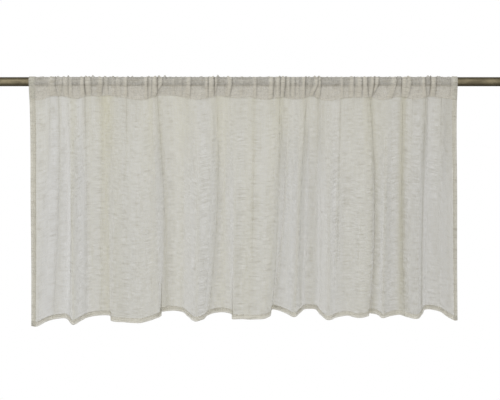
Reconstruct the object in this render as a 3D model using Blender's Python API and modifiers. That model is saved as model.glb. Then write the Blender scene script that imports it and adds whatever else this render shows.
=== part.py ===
"""Cafe curtain gathered on a round metal rod.

Metres, +Z up. The rod's axis is the X axis and its left end face is at x = 0.
The room is on the -Y side. The curtain is one length of cloth: its top is
turned over the rod and sewn down as the rod pocket, and its side and lower
edges are hemmed, so the pocket and the hems belong to the same solid.
"""

import math
from typing import NamedTuple

import bmesh
import bpy
import numpy as np

# Rod
ROD_LENGTH = 1.29
ROD_RADIUS = 0.011
ROD_SIDES = 48
ROD_CHAMFER = 0.001

# Curtain, measured as it hangs
CLOTH_LEFT = 0.13  # the rod's left end to the gathered cloth
CLOTH_WIDTH = 1.03  # gathered width on the rod
CLOTH_THICKNESS = 0.0010
SEAM_DEPTH = 0.0430  # rod axis down to the line that closes the pocket, where it is lowest
HEM_DEPTH = 0.5900  # rod axis down to the lower edge
CORNER_SAG = 0.014  # the lower left corner hangs this much lower
SAG_WIDTH = 0.49  # and the sag fades out this far from the left edge

# Rod pocket
ROD_GAP = 0.0003  # least air between the rod and the pocket
POCKET_WRAP = math.radians(20)  # how far below the rod's middle it is followed

# Hems, two turns of cloth
SIDE_HEM = 0.014
LOWER_HEM = 0.012
HEM_LAYERS = 1.9  # thickness of a hem over the thickness of the cloth
HEM_STEP = 0.0015  # width of the step down to the single cloth

# How the big folds open below the gathers
FOLD_AT_SEAM = 0.12  # share of a fold's depth that is there at the seam
FULL_FOLD_AT = 0.50  # share of the drop where a fold reaches its full depth
FOLD_LEAN = 1.6  # a fold drifts sideways late in the drop
TUCK_AT_SEAM = 0.35  # the stitching holds a tuck down to this share of its rise

# Mesh rows and columns
STATIONS = 144
POCKET_STEPS = 5
BODY_ROWS = (0.0, 0.045, 0.10, 0.17, 0.27, 0.40, 0.56, 0.74, 0.88)
LOWER_HEM_ROWS = 2

LINEN_COLOUR = (0.46, 0.44, 0.38)
BRASS_COLOUR = (0.21, 0.18, 0.13)


class Bend(NamedTuple):
    """One bend of the hanging folds, in millimetres from the cloth's left edge.

    top and foot are its place across at the rod and at the lower edge, bow is
    how far it swings right in between, and out is how far the lower edge
    stands into the room there.
    """

    top: float
    foot: float
    bow: float
    out: float


BENDS = (
    Bend(0, -8, 2, 46),
    Bend(12, 1, 2, 51),
    Bend(50, 25, 2, 18),
    Bend(69, 43, 6, -2),
    Bend(83, 66, 5, -8),
    Bend(101, 97, 0, 45),
    Bend(119, 114, 0, 12),
    Bend(134, 131, 0, -13),
    Bend(160, 154, 0, -22),
    Bend(185, 177, 0, -22),
    Bend(199, 191, 0, 27),
    Bend(224, 220, 0, 35),
    Bend(258, 256, 0, 46),
    Bend(286, 287, 2, 26),
    Bend(307, 311, 6, -12),
    Bend(311, 307, 6, -35),
    Bend(334, 332, 4, -44),
    Bend(362, 357, 2, -37),
    Bend(384, 377, 2, 5),
    Bend(408, 400, 3, 45),
    Bend(428, 415, 6, 31),
    Bend(446, 430, 9, -6),
    Bend(463, 455, 5, -22),
    Bend(480, 480, 0, -12),
    Bend(486, 490, 0, 6),
    Bend(491, 481, 0, 36),
    Bend(510, 501, 0, 34),
    Bend(543, 532, 0, 38),
    Bend(584, 566, 4, 32),
    Bend(603, 582, 6, 9),
    Bend(609, 578, 6, -22),
    Bend(618, 588, 5, -42),
    Bend(632, 612, 3, -22),
    Bend(652, 642, 2, 19),
    Bend(668, 658, 2, -18),
    Bend(680, 671, 0, -44),
    Bend(694, 691, 0, -44),
    Bend(704, 705, 0, -2),
    Bend(722, 727, 0, 43),
    Bend(740, 744, 0, 24),
    Bend(772, 774, 0, 8),
    Bend(796, 799, 4, 26),
    Bend(816, 826, 10, 10),
    Bend(826, 829, 12, -10),
    Bend(840, 845, 8, -3),
    Bend(857, 859, 2, 26),
    Bend(878, 882, 0, 10),
    Bend(898, 903, 0, 1),
    Bend(918, 922, 0, 21),
    Bend(938, 943, 0, 33),
    Bend(957, 960, -2, -3),
    Bend(968, 975, 0, -42),
    Bend(986, 994, 0, -36),
    Bend(1012, 1026, 0, 28),
    Bend(1024, 1038, 0, 45),
    Bend(1030, 1043, 0, 42),
)


class Tuck(NamedTuple):
    """One gather on the rod, in millimetres from the cloth's left edge.

    crest is the place of its ridge, slit the place of the groove beside it,
    rise the height of the ridge, and reach how far it runs on below the seam.
    """

    crest: float
    slit: float
    rise: float
    reach: float


TUCKS = (
    Tuck(49, 56, 3.0, 30),
    Tuck(72, 64, 2.4, 20),
    Tuck(89, 94, 4.6, 28),
    Tuck(122, 132, 5.0, 60),
    Tuck(143, 150, 3.4, 26),
    Tuck(172, 179, 4.2, 34),
    Tuck(199, 208, 2.4, 22),
    Tuck(235, 239, 3.4, 70),
    Tuck(281, 286, 3.0, 26),
    Tuck(302, 307, 3.6, 90),
    Tuck(315, 322, 4.8, 60),
    Tuck(386, 391, 2.6, 24),
    Tuck(427, 423, 2.6, 22),
    Tuck(441, 447, 4.8, 80),
    Tuck(480, 487, 3.2, 30),
    Tuck(548, 552, 2.4, 44),
    Tuck(582, 587, 2.8, 26),
    Tuck(598, 604, 4.6, 60),
    Tuck(614, 620, 3.8, 40),
    Tuck(638, 642, 2.4, 22),
    Tuck(660, 666, 4.8, 110),
    Tuck(686, 695, 3.2, 40),
    Tuck(704, 711, 3.0, 34),
    Tuck(758, 764, 2.2, 20),
    Tuck(776, 783, 3.0, 30),
    Tuck(803, 814, 4.2, 36),
    Tuck(836, 829, 3.0, 70),
    Tuck(877, 884, 3.4, 36),
    Tuck(893, 899, 3.8, 90),
    Tuck(917, 911, 4.4, 30),
    Tuck(958, 966, 4.8, 56),
    Tuck(974, 980, 3.0, 26),
    Tuck(1021, 1013, 2.4, 24),
)


class Lift(NamedTuple):
    """How far the gathers draw the pocket's seam up at one place, in millimetres."""

    place: float
    rise: float


SEAM_LINE = (
    Lift(0, 1.0),
    Lift(28, 0.0),
    Lift(50, 8.0),
    Lift(72, 7.5),
    Lift(100, 5.0),
    Lift(114, 2.5),
    Lift(135, 7.5),
    Lift(172, 7.5),
    Lift(202, 9.0),
    Lift(222, 6.0),
    Lift(256, 0.5),
    Lift(275, 0.0),
    Lift(302, 7.5),
    Lift(355, 7.5),
    Lift(385, 3.0),
    Lift(403, 0.5),
    Lift(425, 3.5),
    Lift(450, 7.5),
    Lift(500, 5.0),
    Lift(520, 7.0),
    Lift(548, 2.5),
    Lift(568, 0.5),
    Lift(604, 5.0),
    Lift(632, 0.5),
    Lift(655, 2.5),
    Lift(677, 7.0),
    Lift(700, 0.5),
    Lift(722, -2.0),
    Lift(746, 2.0),
    Lift(790, 5.0),
    Lift(822, 5.0),
    Lift(848, 0.0),
    Lift(870, 3.0),
    Lift(893, 7.0),
    Lift(912, 4.0),
    Lift(930, 0.0),
    Lift(958, 6.5),
    Lift(985, 4.0),
    Lift(1010, 2.5),
    Lift(1030, 1.0),
)


def column(rows: tuple, name: str) -> np.ndarray:
    """One named column of a table, in metres."""
    return np.array([getattr(row, name) for row in rows], float) / 1000


def smooth(share: float) -> float:
    """An S curve from 0 to 1."""
    share = min(max(share, 0.0), 1.0)
    return share * share * (3 - 2 * share)


def through(knots: np.ndarray, values: np.ndarray, at: np.ndarray) -> np.ndarray:
    """Cubic curve through the values, with the slopes of a hanging fold."""
    steps = np.diff(knots)
    rates = np.diff(values) / steps
    slopes = np.empty_like(values)
    slopes[0] = rates[0]
    slopes[-1] = rates[-1]
    weighed = rates[:-1] * steps[1:] + rates[1:] * steps[:-1]
    slopes[1:-1] = weighed / (steps[1:] + steps[:-1])
    cell = np.clip(np.searchsorted(knots, at) - 1, 0, len(steps) - 1)
    step = steps[cell]
    share = (at - knots[cell]) / step
    start = values[cell] * (1 + 2 * share) * (1 - share) ** 2
    end = values[cell + 1] * share**2 * (3 - 2 * share)
    turn_in = slopes[cell] * step * share * (1 - share) ** 2
    turn_out = slopes[cell + 1] * step * share**2 * (share - 1)
    return start + end + turn_in + turn_out


def gathers(across: np.ndarray, below: float) -> np.ndarray:
    """How far the tucks push the cloth into the room, this far below the seam."""
    total = np.zeros_like(across)
    for tuck in TUCKS:
        lean = (tuck.slit - tuck.crest) / 1000
        wide = 1.15 * abs(lean) + 0.001
        off = across - tuck.crest / 1000
        ridge = np.exp(-((off / wide) ** 2))
        groove = np.exp(-(((off - 1.3 * lean) / (0.9 * wide)) ** 2))
        fade = math.exp(-((1000 * below / tuck.reach) ** 1.5))
        total += tuck.rise / 1000 * fade * (ridge - 0.45 * groove)
    return total


class HangingCloth:
    """The curtain's middle surface, as rows of points along the cloth's width."""

    def __init__(self) -> None:
        chords = np.hypot(np.diff(column(BENDS, "foot")), np.diff(column(BENDS, "out")))
        self.knots = np.concatenate([[0.0], np.cumsum(chords)])
        self.width = self.knots[-1]  # of the cloth laid flat
        self.at = self.stations()
        self.top = through(self.knots, column(BENDS, "top"), self.at)
        self.foot = through(self.knots, column(BENDS, "foot"), self.at)
        self.bow = through(self.knots, column(BENDS, "bow"), self.at)
        self.out = through(self.knots, column(BENDS, "out"), self.at)
        self.proud = gathers(self.top, 0.0)
        lift = through(column(SEAM_LINE, "place"), column(SEAM_LINE, "rise"), self.top)
        self.seam = lift - SEAM_DEPTH
        edge = np.minimum(self.at, self.width - self.at)
        self.layers = np.where(edge < SIDE_HEM + 0.0001, HEM_LAYERS, 1.0)

    def stations(self) -> np.ndarray:
        """Places along the cloth, half spread by the gathers, half by the folds.

        Each side hem's inner edge gets two stations close together, for its step.
        """
        even = np.linspace(0, self.width, 2000)
        top = through(self.knots, column(BENDS, "top"), even)
        spread = (top / CLOTH_WIDTH + even / self.width) / 2
        inner = np.interp(np.linspace(0, 1, STATIONS), spread, even)
        steps = [SIDE_HEM, SIDE_HEM + HEM_STEP]
        steps += [self.width - step for step in steps]
        clear = [s for s in inner if min(abs(s - step) for step in steps) > 0.003]
        return np.array(sorted([*clear, *steps]))

    def body_row(self, share: float) -> np.ndarray:
        """Points at this share of the drop from the seam to the lower edge."""
        sag = CORNER_SAG * np.clip(1 - self.foot / SAG_WIDTH, 0, 1)
        height = self.seam + (-HEM_DEPTH - sag - self.seam) * share
        swing = 4 * share * (1 - share) * self.bow
        across = self.top + (self.foot - self.top) * share**FOLD_LEAN + swing
        growth = FOLD_AT_SEAM + (1 - FOLD_AT_SEAM) * smooth(share / FULL_FOLD_AT)
        tucks = gathers(self.top, share * (HEM_DEPTH - SEAM_DEPTH))
        pressed = TUCK_AT_SEAM + (1 - TUCK_AT_SEAM) * smooth(8 * share)
        out = self.out * growth + tucks * pressed
        return np.column_stack([across, -out, height])

    def pocket_row(self, index: int) -> np.ndarray:
        """Points of one row of the pocket, from its front up over the rod."""
        step = (math.pi + 2 * POCKET_WRAP) / POCKET_STEPS
        angle = step * index - POCKET_WRAP
        facing = math.cos(angle)  # 1 on the room side, -1 behind the rod
        inside = (ROD_RADIUS + ROD_GAP) / math.cos(step / 2) + 0.0001
        raised = 0.45 + 0.55 * facing if facing > 0 else 0.35
        radius = inside + self.layers * CLOTH_THICKNESS / 2
        radius += np.clip(self.proud, 0, None) * raised
        points = (self.top, -radius * facing, radius * math.sin(angle))
        return np.column_stack(points)

    def sheet(self) -> tuple:
        """Points, faces and thickness shares of the whole sheet.

        The rows run from the lower edge up to the seam, over the rod and down
        behind it. The last row is joined back to the seam, which closes the
        pocket.
        """
        hem_line = 1 - LOWER_HEM / (HEM_DEPTH - SEAM_DEPTH)
        shares = [*BODY_ROWS, hem_line - HEM_STEP, hem_line, 1.0]
        rows = [self.body_row(share) for share in reversed(shares)]
        seam_row = len(rows) - 1
        rows += [self.pocket_row(index) for index in range(POCKET_STEPS + 1)]
        wide = len(self.at)
        pairs = [(row, row + 1) for row in range(len(rows) - 1)]
        pairs.append((len(rows) - 1, seam_row))
        faces = [
            (low * wide + side, low * wide + side + 1, up * wide + side + 1, up * wide + side)
            for low, up in pairs
            for side in range(wide - 1)
        ]
        layers = np.tile(self.layers, (len(rows), 1))
        layers[:LOWER_HEM_ROWS] = HEM_LAYERS
        return np.concatenate(rows), faces, layers.ravel() / HEM_LAYERS


def plain_material(name: str, colour: tuple, roughness: float, metallic: float):
    """A Principled BSDF material with these base values."""
    material = bpy.data.materials.new(name)
    material.use_nodes = True
    surface = material.node_tree.nodes["Principled BSDF"]
    surface.inputs["Base Color"].default_value = (*colour, 1.0)
    surface.inputs["Roughness"].default_value = roughness
    surface.inputs["Metallic"].default_value = metallic
    material.diffuse_color = (*colour, 1.0)
    return material


def build_curtain(home: bpy.types.Collection, parent: bpy.types.Object) -> None:
    """The one piece of cloth: a sheet in its hanging shape, then its thickness."""
    points, faces, thickness = HangingCloth().sheet()
    mesh = bpy.data.meshes.new("curtain")
    mesh.from_pydata(points.tolist(), [], faces)
    mesh.materials.append(plain_material("linen", LINEN_COLOUR, 0.85, 0.0))
    mesh.shade_smooth()
    curtain = bpy.data.objects.new("curtain", mesh)
    curtain.parent = parent
    curtain.location.x = CLOTH_LEFT
    home.objects.link(curtain)

    hems = curtain.vertex_groups.new(name="hems")
    for index, share in enumerate(thickness.tolist()):
        hems.add([index], share, "REPLACE")

    solid = curtain.modifiers.new("Cloth thickness", "SOLIDIFY")
    solid.solidify_mode = "NON_MANIFOLD"
    solid.nonmanifold_thickness_mode = "CONSTRAINTS"
    solid.nonmanifold_boundary_mode = "NONE"
    solid.thickness = CLOTH_THICKNESS * HEM_LAYERS
    solid.offset = 0.0
    solid.vertex_group = "hems"


def build_rod(home: bpy.types.Collection, parent: bpy.types.Object) -> None:
    """Plain round rod with broken edges at both flat ends."""
    mesh = bpy.data.meshes.new("rod")
    shape = bmesh.new()
    bmesh.ops.create_cone(
        shape,
        cap_ends=True,
        segments=ROD_SIDES,
        radius1=ROD_RADIUS,
        radius2=ROD_RADIUS,
        depth=ROD_LENGTH,
    )
    shape.to_mesh(mesh)
    shape.free()
    mesh.materials.append(plain_material("aged brass", BRASS_COLOUR, 0.42, 0.9))
    mesh.shade_smooth()
    mesh.set_sharp_from_angle(angle=math.radians(40))
    rod = bpy.data.objects.new("rod", mesh)
    rod.parent = parent
    rod.location.x = ROD_LENGTH / 2
    rod.rotation_euler.y = math.radians(90)
    home.objects.link(rod)

    edges = rod.modifiers.new("Broken end edges", "BEVEL")
    edges.width = ROD_CHAMFER
    edges.segments = 1
    edges.limit_method = "ANGLE"
    edges.angle_limit = math.radians(60)


def main() -> None:
    """Clear the scene, then build the rod and the curtain."""
    for old in list(bpy.data.objects):
        bpy.data.objects.remove(old)
    home = bpy.data.collections.new("Cafe curtain on rod")
    bpy.context.scene.collection.children.link(home)
    axis = bpy.data.objects.new("rod axis, left end", None)
    home.objects.link(axis)
    build_rod(home, axis)
    build_curtain(home, axis)


if __name__ == "__main__":
    main()
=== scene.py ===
"""The finished look of a cafe curtain on its rod: cloth, stitching, rod and studio."""
import logging
import math
from dataclasses import dataclass, field
from enum import Enum
from typing import NamedTuple

import bmesh
import bpy
import numpy as np
from mathutils import Euler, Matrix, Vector


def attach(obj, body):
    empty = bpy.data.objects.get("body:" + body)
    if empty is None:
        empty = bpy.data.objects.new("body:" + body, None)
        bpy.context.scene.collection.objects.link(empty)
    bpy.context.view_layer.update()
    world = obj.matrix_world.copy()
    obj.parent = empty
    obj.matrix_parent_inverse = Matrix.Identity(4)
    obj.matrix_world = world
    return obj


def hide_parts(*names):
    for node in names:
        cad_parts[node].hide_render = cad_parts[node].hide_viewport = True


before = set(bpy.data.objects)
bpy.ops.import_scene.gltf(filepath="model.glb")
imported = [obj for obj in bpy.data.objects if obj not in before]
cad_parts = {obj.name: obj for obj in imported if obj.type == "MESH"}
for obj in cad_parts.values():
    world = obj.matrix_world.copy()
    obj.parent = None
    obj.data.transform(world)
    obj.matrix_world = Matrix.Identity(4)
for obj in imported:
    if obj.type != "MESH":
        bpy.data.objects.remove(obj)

log = logging.getLogger("cafe curtain")

MM = 0.001
BODY = "root"


# ---- shader expressions


class Wire:
    """A value socket that Python's operators work on, by adding Math nodes."""

    def __init__(self, shader: "Shader", socket: bpy.types.NodeSocket) -> None:
        """Keep the shader that the socket belongs to.

        Args:
            shader: the material's node tree.
            socket: an output socket in it.
        """
        self.shader = shader
        self.socket = socket

    def _math(self, operation: str, *values: "Wire | float") -> "Wire":
        """Add one Math node.

        Args:
            operation: the node's operation.
            values: its inputs, in order.

        Returns:
            The node's result.
        """
        return self.shader.math(operation, *values)

    def __add__(self, other: "Wire | float") -> "Wire":
        """Sum."""
        return self._math("ADD", self, other)

    def __radd__(self, other: float) -> "Wire":
        """Sum, the number first."""
        return self._math("ADD", other, self)

    def __sub__(self, other: "Wire | float") -> "Wire":
        """Difference."""
        return self._math("SUBTRACT", self, other)

    def __rsub__(self, other: float) -> "Wire":
        """Difference, the number first."""
        return self._math("SUBTRACT", other, self)

    def __mul__(self, other: "Wire | float") -> "Wire":
        """Product."""
        return self._math("MULTIPLY", self, other)

    def __rmul__(self, other: float) -> "Wire":
        """Product, the number first."""
        return self._math("MULTIPLY", other, self)

    def __truediv__(self, other: "Wire | float") -> "Wire":
        """Quotient."""
        return self._math("DIVIDE", self, other)

    def __rtruediv__(self, other: float) -> "Wire":
        """Quotient, the number first."""
        return self._math("DIVIDE", other, self)

    def __pow__(self, other: float) -> "Wire":
        """Power."""
        return self._math("POWER", self, other)

    def __abs__(self) -> "Wire":
        """Absolute value."""
        return self._math("ABSOLUTE", self)

    def sine(self) -> "Wire":
        """Sine."""
        return self._math("SINE", self)

    def most(self, other: "Wire | float") -> "Wire":
        """The larger of the two."""
        return self._math("MAXIMUM", self, other)

    def step(self, low: float, high: float) -> "Wire":
        """A smooth step from 0 at low to 1 at high."""
        settings = {"interpolation_type": "SMOOTHSTEP"}
        values = {"Value": self, "From Min": low, "From Max": high}
        return Wire(self.shader, self.shader.node("ShaderNodeMapRange", settings, values)[0])


class Shader:
    """One material's node tree, built from expressions."""

    def __init__(self, name: str, tree: bpy.types.NodeTree | None = None) -> None:
        """Start an empty material, or empty the tree that is given.

        Args:
            name: the material's name.
            tree: another tree to build in, such as the world's.
        """
        if tree is None:
            self.material = bpy.data.materials.new(name)
            self.material.use_nodes = True
            tree = self.material.node_tree
        self.tree = tree
        self.tree.nodes.clear()

    def node(self, kind: str, settings: dict | None = None, values: dict | None = None):
        """Add a node.

        Args:
            kind: the node's type.
            settings: its properties, set first; a ramp's stops go under "stops".
            values: socket name or index, to a number, a colour, a socket or a Wire.

        Returns:
            The node's output sockets.
        """
        made = self.tree.nodes.new(kind)
        for key, value in (settings or {}).items():
            if key == "stops":
                ramp = made.color_ramp
                while len(ramp.elements) < len(value):
                    ramp.elements.new(0.5)
                for element, (place, colour) in zip(ramp.elements, value):
                    element.position = place
                    element.color = (*colour, 1.0)
            else:
                setattr(made, key, value)
        for key, value in (values or {}).items():
            self.feed(made.inputs[key], value)
        return made.outputs

    def feed(self, socket: bpy.types.NodeSocket, value: object) -> None:
        """Link or set one input socket.

        Args:
            socket: the input.
            value: a number, a colour, a socket or a Wire.
        """
        if isinstance(value, Wire):
            value = value.socket
        if isinstance(value, bpy.types.NodeSocket):
            self.tree.links.new(value, socket)
        else:
            socket.default_value = value

    def math(self, operation: str, *values: "Wire | float") -> Wire:
        """Add a Math node.

        Args:
            operation: the node's operation.
            values: its inputs, in order.

        Returns:
            Its result.
        """
        inputs = dict(enumerate(values))
        return Wire(self, self.node("ShaderNodeMath", {"operation": operation}, inputs)[0])

    def mix(self, share: Wire, low: object, high: object) -> bpy.types.NodeSocket:
        """Mix two colours.

        Args:
            share: how much of the second.
            low: the first colour.
            high: the second colour.

        Returns:
            The mixed colour.
        """
        values = {0: share, 6: low, 7: high}
        settings = {"data_type": "RGBA", "clamp_factor": True}
        return self.node("ShaderNodeMix", settings, values)[2]

    def stretched(self, place: object, scale: tuple) -> bpy.types.NodeSocket:
        """A place multiplied along each axis.

        Args:
            place: a vector socket.
            scale: the three factors.

        Returns:
            The stretched place.
        """
        settings = {"operation": "MULTIPLY"}
        return self.node("ShaderNodeVectorMath", settings, {0: place, 1: scale})[0]

    def noise(self, place: object, detail: float = 2.0, rough: float = 0.5) -> Wire:
        """Soft noise of about one unit, from 0 to 1.

        Args:
            place: a vector socket, already stretched.
            detail: how many finer layers it has.
            rough: how strong they are.

        Returns:
            The noise.
        """
        values = {"Vector": place, "Scale": 1.0, "Detail": detail, "Roughness": rough}
        settings = {"noise_dimensions": "3D"}
        return Wire(self, self.node("ShaderNodeTexNoise", settings, values)["Fac"])

    def finish(self, surface: bpy.types.NodeSocket) -> bpy.types.Material:
        """Link the surface to the output.

        Args:
            surface: the shader socket.

        Returns:
            The material.
        """
        self.node("ShaderNodeOutputMaterial", None, {"Surface": surface})
        return self.material


def linear(red: float, green: float, blue: float) -> tuple:
    """A colour read from a screen, 0 to 255, as the shader's linear colour."""
    shares = [c / 255 for c in (red, green, blue)]
    bent = [s / 12.92 if s <= 0.04045 else ((s + 0.055) / 1.055) ** 2.4 for s in shares]
    return (*bent, 1.0)


# ---- finishes


@dataclass(frozen=True)
class LinenFinish:
    """Sheer undyed linen: open plain weave, uneven slub yarns, matt."""

    pale: tuple = (203, 204, 201)
    warm: tuple = (205, 200, 160)
    # painted light: the pocket and the hems, where the cloth lies doubled, are painted paler
    # than the single cloth, standing in for the light their layers send back
    doubled: tuple = (222, 217, 204)
    # painted light: the band of the pocket over the rod is painted paler and greyer than the
    # rest of the pocket
    over_rod: tuple = (225, 222, 214)
    side_hem: tuple = (227, 224, 211)
    lower_hem: tuple = (242, 239, 227)
    far: tuple = (184, 182, 174)  # painted shade: the colour the cloth darkens to towards its right end, where the light falls off
    # painted shade: the dark brown painted into the slits beside the tucks and just under the
    # rod
    painted_crease_shade: tuple = (88, 76, 52)
    slub: tuple = (150, 143, 124)
    lit: tuple = (206, 203, 195)
    opacity: float = 0.79
    doubled_opacity: float = 0.71
    through: float = 0.48  # share of the light that passes one layer
    doubled_through: float = 0.22
    pitch: float = 0.95 * MM  # one yarn to the next
    rod_inner: float = 0.17  # the band over the rod, painted paler and greyer, as shares of the pocket's cloth
    rod_outer: float = 0.21
    ridge_plain: float = 2.8  # how soon the band's painted paler colour gives way on a tuck
    turn_edge: float = 1 * MM  # over which one layer gives way to two

    def material(self, flat: tuple, pocket: float, hems: tuple) -> bpy.types.Material:
        """The cloth's material.

        Args:
            flat: width and length of the flat cloth that the surface map spans.
            pocket: length of the cloth in the rod pocket.
            hems: width of cloth in each side hem, and length of it in the lower one.

        Returns:
            The material, which reads the map named OFBake.
        """
        shader = Shader("sheer linen")
        mapped = shader.node("ShaderNodeUVMap", {"uv_map": "OFBake"})[0]
        place = shader.stretched(mapped, (flat[0], flat[1], 0.0))
        parts = shader.node("ShaderNodeSeparateXYZ", None, {0: place})
        across, along = Wire(shader, parts[0]), Wire(shader, parts[1])
        bunched, crease, warm = (
            Wire(shader, shader.node("ShaderNodeAttribute", {"attribute_name": name})["Fac"])
            for name in ("bunched", "crease", "warm")
        )

        edge = self.turn_edge
        in_pocket = along.step(flat[1] - pocket - edge, flat[1] - pocket + edge)
        middle = along - (flat[1] - pocket / 2)
        inner, outer = self.rod_inner * pocket, self.rod_outer * pocket
        over_rod = 1 - (middle * middle).step(inner**2, outer**2)
        in_side = 1 - across.step(hems[0], hems[0] + edge)
        in_side = in_side.most(across.step(flat[0] - hems[0] - edge, flat[0] - hems[0]))
        in_lower = 1 - along.step(hems[1], hems[1] + edge)
        in_hem = in_side.most(in_lower)
        doubled = in_pocket.most(in_hem)

        drift = shader.noise(shader.stretched(place, (12.0, 5.0, 1.0)), 0.0) - 0.5
        wavy = shader.node(
            "ShaderNodeCombineXYZ", None, {0: across, 1: along + drift * 0.002, 2: 0.0}
        )[0]
        weft = shader.noise(shader.stretched(wavy, (30.0, 620.0, 1.0)), 1.0)
        weft_fine = shader.noise(shader.stretched(wavy, (80.0, 1000.0, 1.0)), 1.0)
        warp = shader.noise(shader.stretched(place, (560.0, 14.0, 1.0)), 2.0)
        band = shader.noise(shader.stretched(place, (26.0, 0.7, 1.0)), 2.0)
        cloud = shader.noise(shader.stretched(place, (60.0, 18.0, 1.0)), 3.0, 0.6)
        grain = shader.noise(shader.stretched(place, (300.0, 360.0, 1.0)), 2.0)
        pinch = shader.noise(shader.stretched(place, (260.0, 150.0, 1.0)), 3.0, 0.6)

        # the yarns' own tone, plus warm painted shade along the folds, carried with the yarn
        # density
        warmth = warm + bunched + (band - 0.5) * 0.5 + (cloud - 0.5) * 0.20
        warmth = warmth + (warp - 0.5) * 0.5 + (grain - 0.5) * 0.4
        colour = shader.mix(warmth, linear(*self.pale), linear(*self.warm))
        # painted shade: the cloth darkens towards its right end, where the light falls off
        colour = shader.mix(across * (0.6 / flat[0]), colour, linear(*self.far))
        # painted light: the doubled cloth of the pocket is painted paler
        colour = shader.mix(in_pocket, colour, linear(*self.doubled))
        # painted light: the band over the rod is painted paler and greyer, and gives way on the
        # tucks' ridges
        between = over_rod * (1 - bunched * self.ridge_plain)
        colour = shader.mix(between, colour, linear(*self.over_rod))
        # painted light: the hems are painted paler still
        colour = shader.mix(in_lower, colour, linear(*self.lower_hem))
        colour = shader.mix(in_side, colour, linear(*self.side_hem))
        thick = weft.step(0.49, 0.71) * 0.68 + weft_fine.step(0.50, 0.74) * 0.42
        thick = thick + warp.step(0.58, 0.80) * 0.16
        colour = shader.mix(thick * 0.8, colour, linear(*self.slub))
        # painted shade in the slits beside the tucks and just under the rod
        colour = shader.mix(crease, colour, linear(*self.painted_crease_shade))

        turn = math.tau / self.pitch
        yarn = (across * turn).sine() * (along * turn).sine()
        # denser cloth where the yarns lie closer, with painted fold shade in the same attribute
        opacity = self.opacity + doubled * (self.doubled_opacity - self.opacity)
        opacity = opacity + (weft - 0.5) * 0.40 + (weft_fine - 0.5) * 0.52
        opacity = opacity + (warp - 0.5) * 0.22 + yarn * 0.10
        opacity = opacity + in_pocket * (pinch - 0.5) * 0.60 + bunched
        relief = yarn * 0.25 + weft * 0.9 + weft_fine * 0.5 + warp * 0.5
        bump = shader.node(
            "ShaderNodeBump", None, {"Strength": 0.05, "Distance": 0.0004, "Height": relief}
        )[0]
        front = shader.node(
            "ShaderNodeBsdfPrincipled",
            None,
            {
                "Base Color": colour,
                "Roughness": 0.9,
                "Specular IOR Level": 0.15,
                "Sheen Weight": 0.12,
                "Normal": bump,
            },
        )[0]
        lit = shader.node("ShaderNodeBsdfTranslucent", None, {0: linear(*self.lit)})[0]
        through = self.through - doubled * (self.through - self.doubled_through)
        cloth = shader.node("ShaderNodeMixShader", None, {0: through, 1: front, 2: lit})[0]
        clear = shader.node("ShaderNodeBsdfTransparent")[0]
        whole = shader.node("ShaderNodeMixShader", None, {0: opacity, 1: clear, 2: cloth})[0]
        return shader.finish(whole)


@dataclass(frozen=True)
class ThreadFinish:
    """Matt sewing thread, twisted from two plies."""

    colour: tuple = (190, 183, 165)
    dark: tuple = (158, 150, 130)

    def material(self) -> bpy.types.Material:
        """The thread's material."""
        shader = Shader("sewing thread")
        place = shader.node("ShaderNodeTexCoord")["Object"]
        twist = shader.noise(shader.stretched(place, (900.0, 900.0, 900.0)), 1.0)
        colour = shader.mix(
            twist.step(0.4, 0.65), linear(*self.colour), linear(*self.dark)
        )
        surface = shader.node(
            "ShaderNodeBsdfPrincipled",
            None,
            {"Base Color": colour, "Roughness": 0.75, "Specular IOR Level": 0.2},
        )[0]
        return shader.finish(surface)


@dataclass(frozen=True)
class AgedBrassFinish:
    """Dark brass, drawn along the rod, with a thin brown patina."""

    bare: tuple = (148, 138, 112)
    patina: tuple = (98, 90, 72)

    def material(self) -> bpy.types.Material:
        """The rod's material."""
        shader = Shader("aged brass")
        place = shader.node("ShaderNodeTexCoord")["Object"]
        drawn = shader.noise(shader.stretched(place, (7.0, 900.0, 900.0)), 3.0)
        cloud = shader.noise(shader.stretched(place, (26.0, 60.0, 60.0)), 4.0, 0.6)
        age = cloud.step(0.35, 0.7) * 0.7 + (drawn - 0.5) * 0.8
        colour = shader.mix(age, linear(*self.bare), linear(*self.patina))
        rough = 0.44 + cloud * 0.10 + drawn * 0.12
        bump = shader.node(
            "ShaderNodeBump", None, {"Strength": 0.12, "Distance": 0.0002, "Height": drawn}
        )[0]
        surface = shader.node(
            "ShaderNodeBsdfPrincipled",
            None,
            {"Base Color": colour, "Metallic": 0.9, "Roughness": rough, "Normal": bump},
        )[0]
        return shader.finish(surface)


# ---- the shape of the hanging cloth


class Bend(NamedTuple):
    """One bend of the hanging folds, in millimetres from the cloth's left edge.

    top and foot are its place across at the rod and at the lower edge, bow is
    how far it swings right in between, and out is how far the lower edge
    stands into the room there.
    """

    top: float
    foot: float
    bow: float
    out: float


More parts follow.
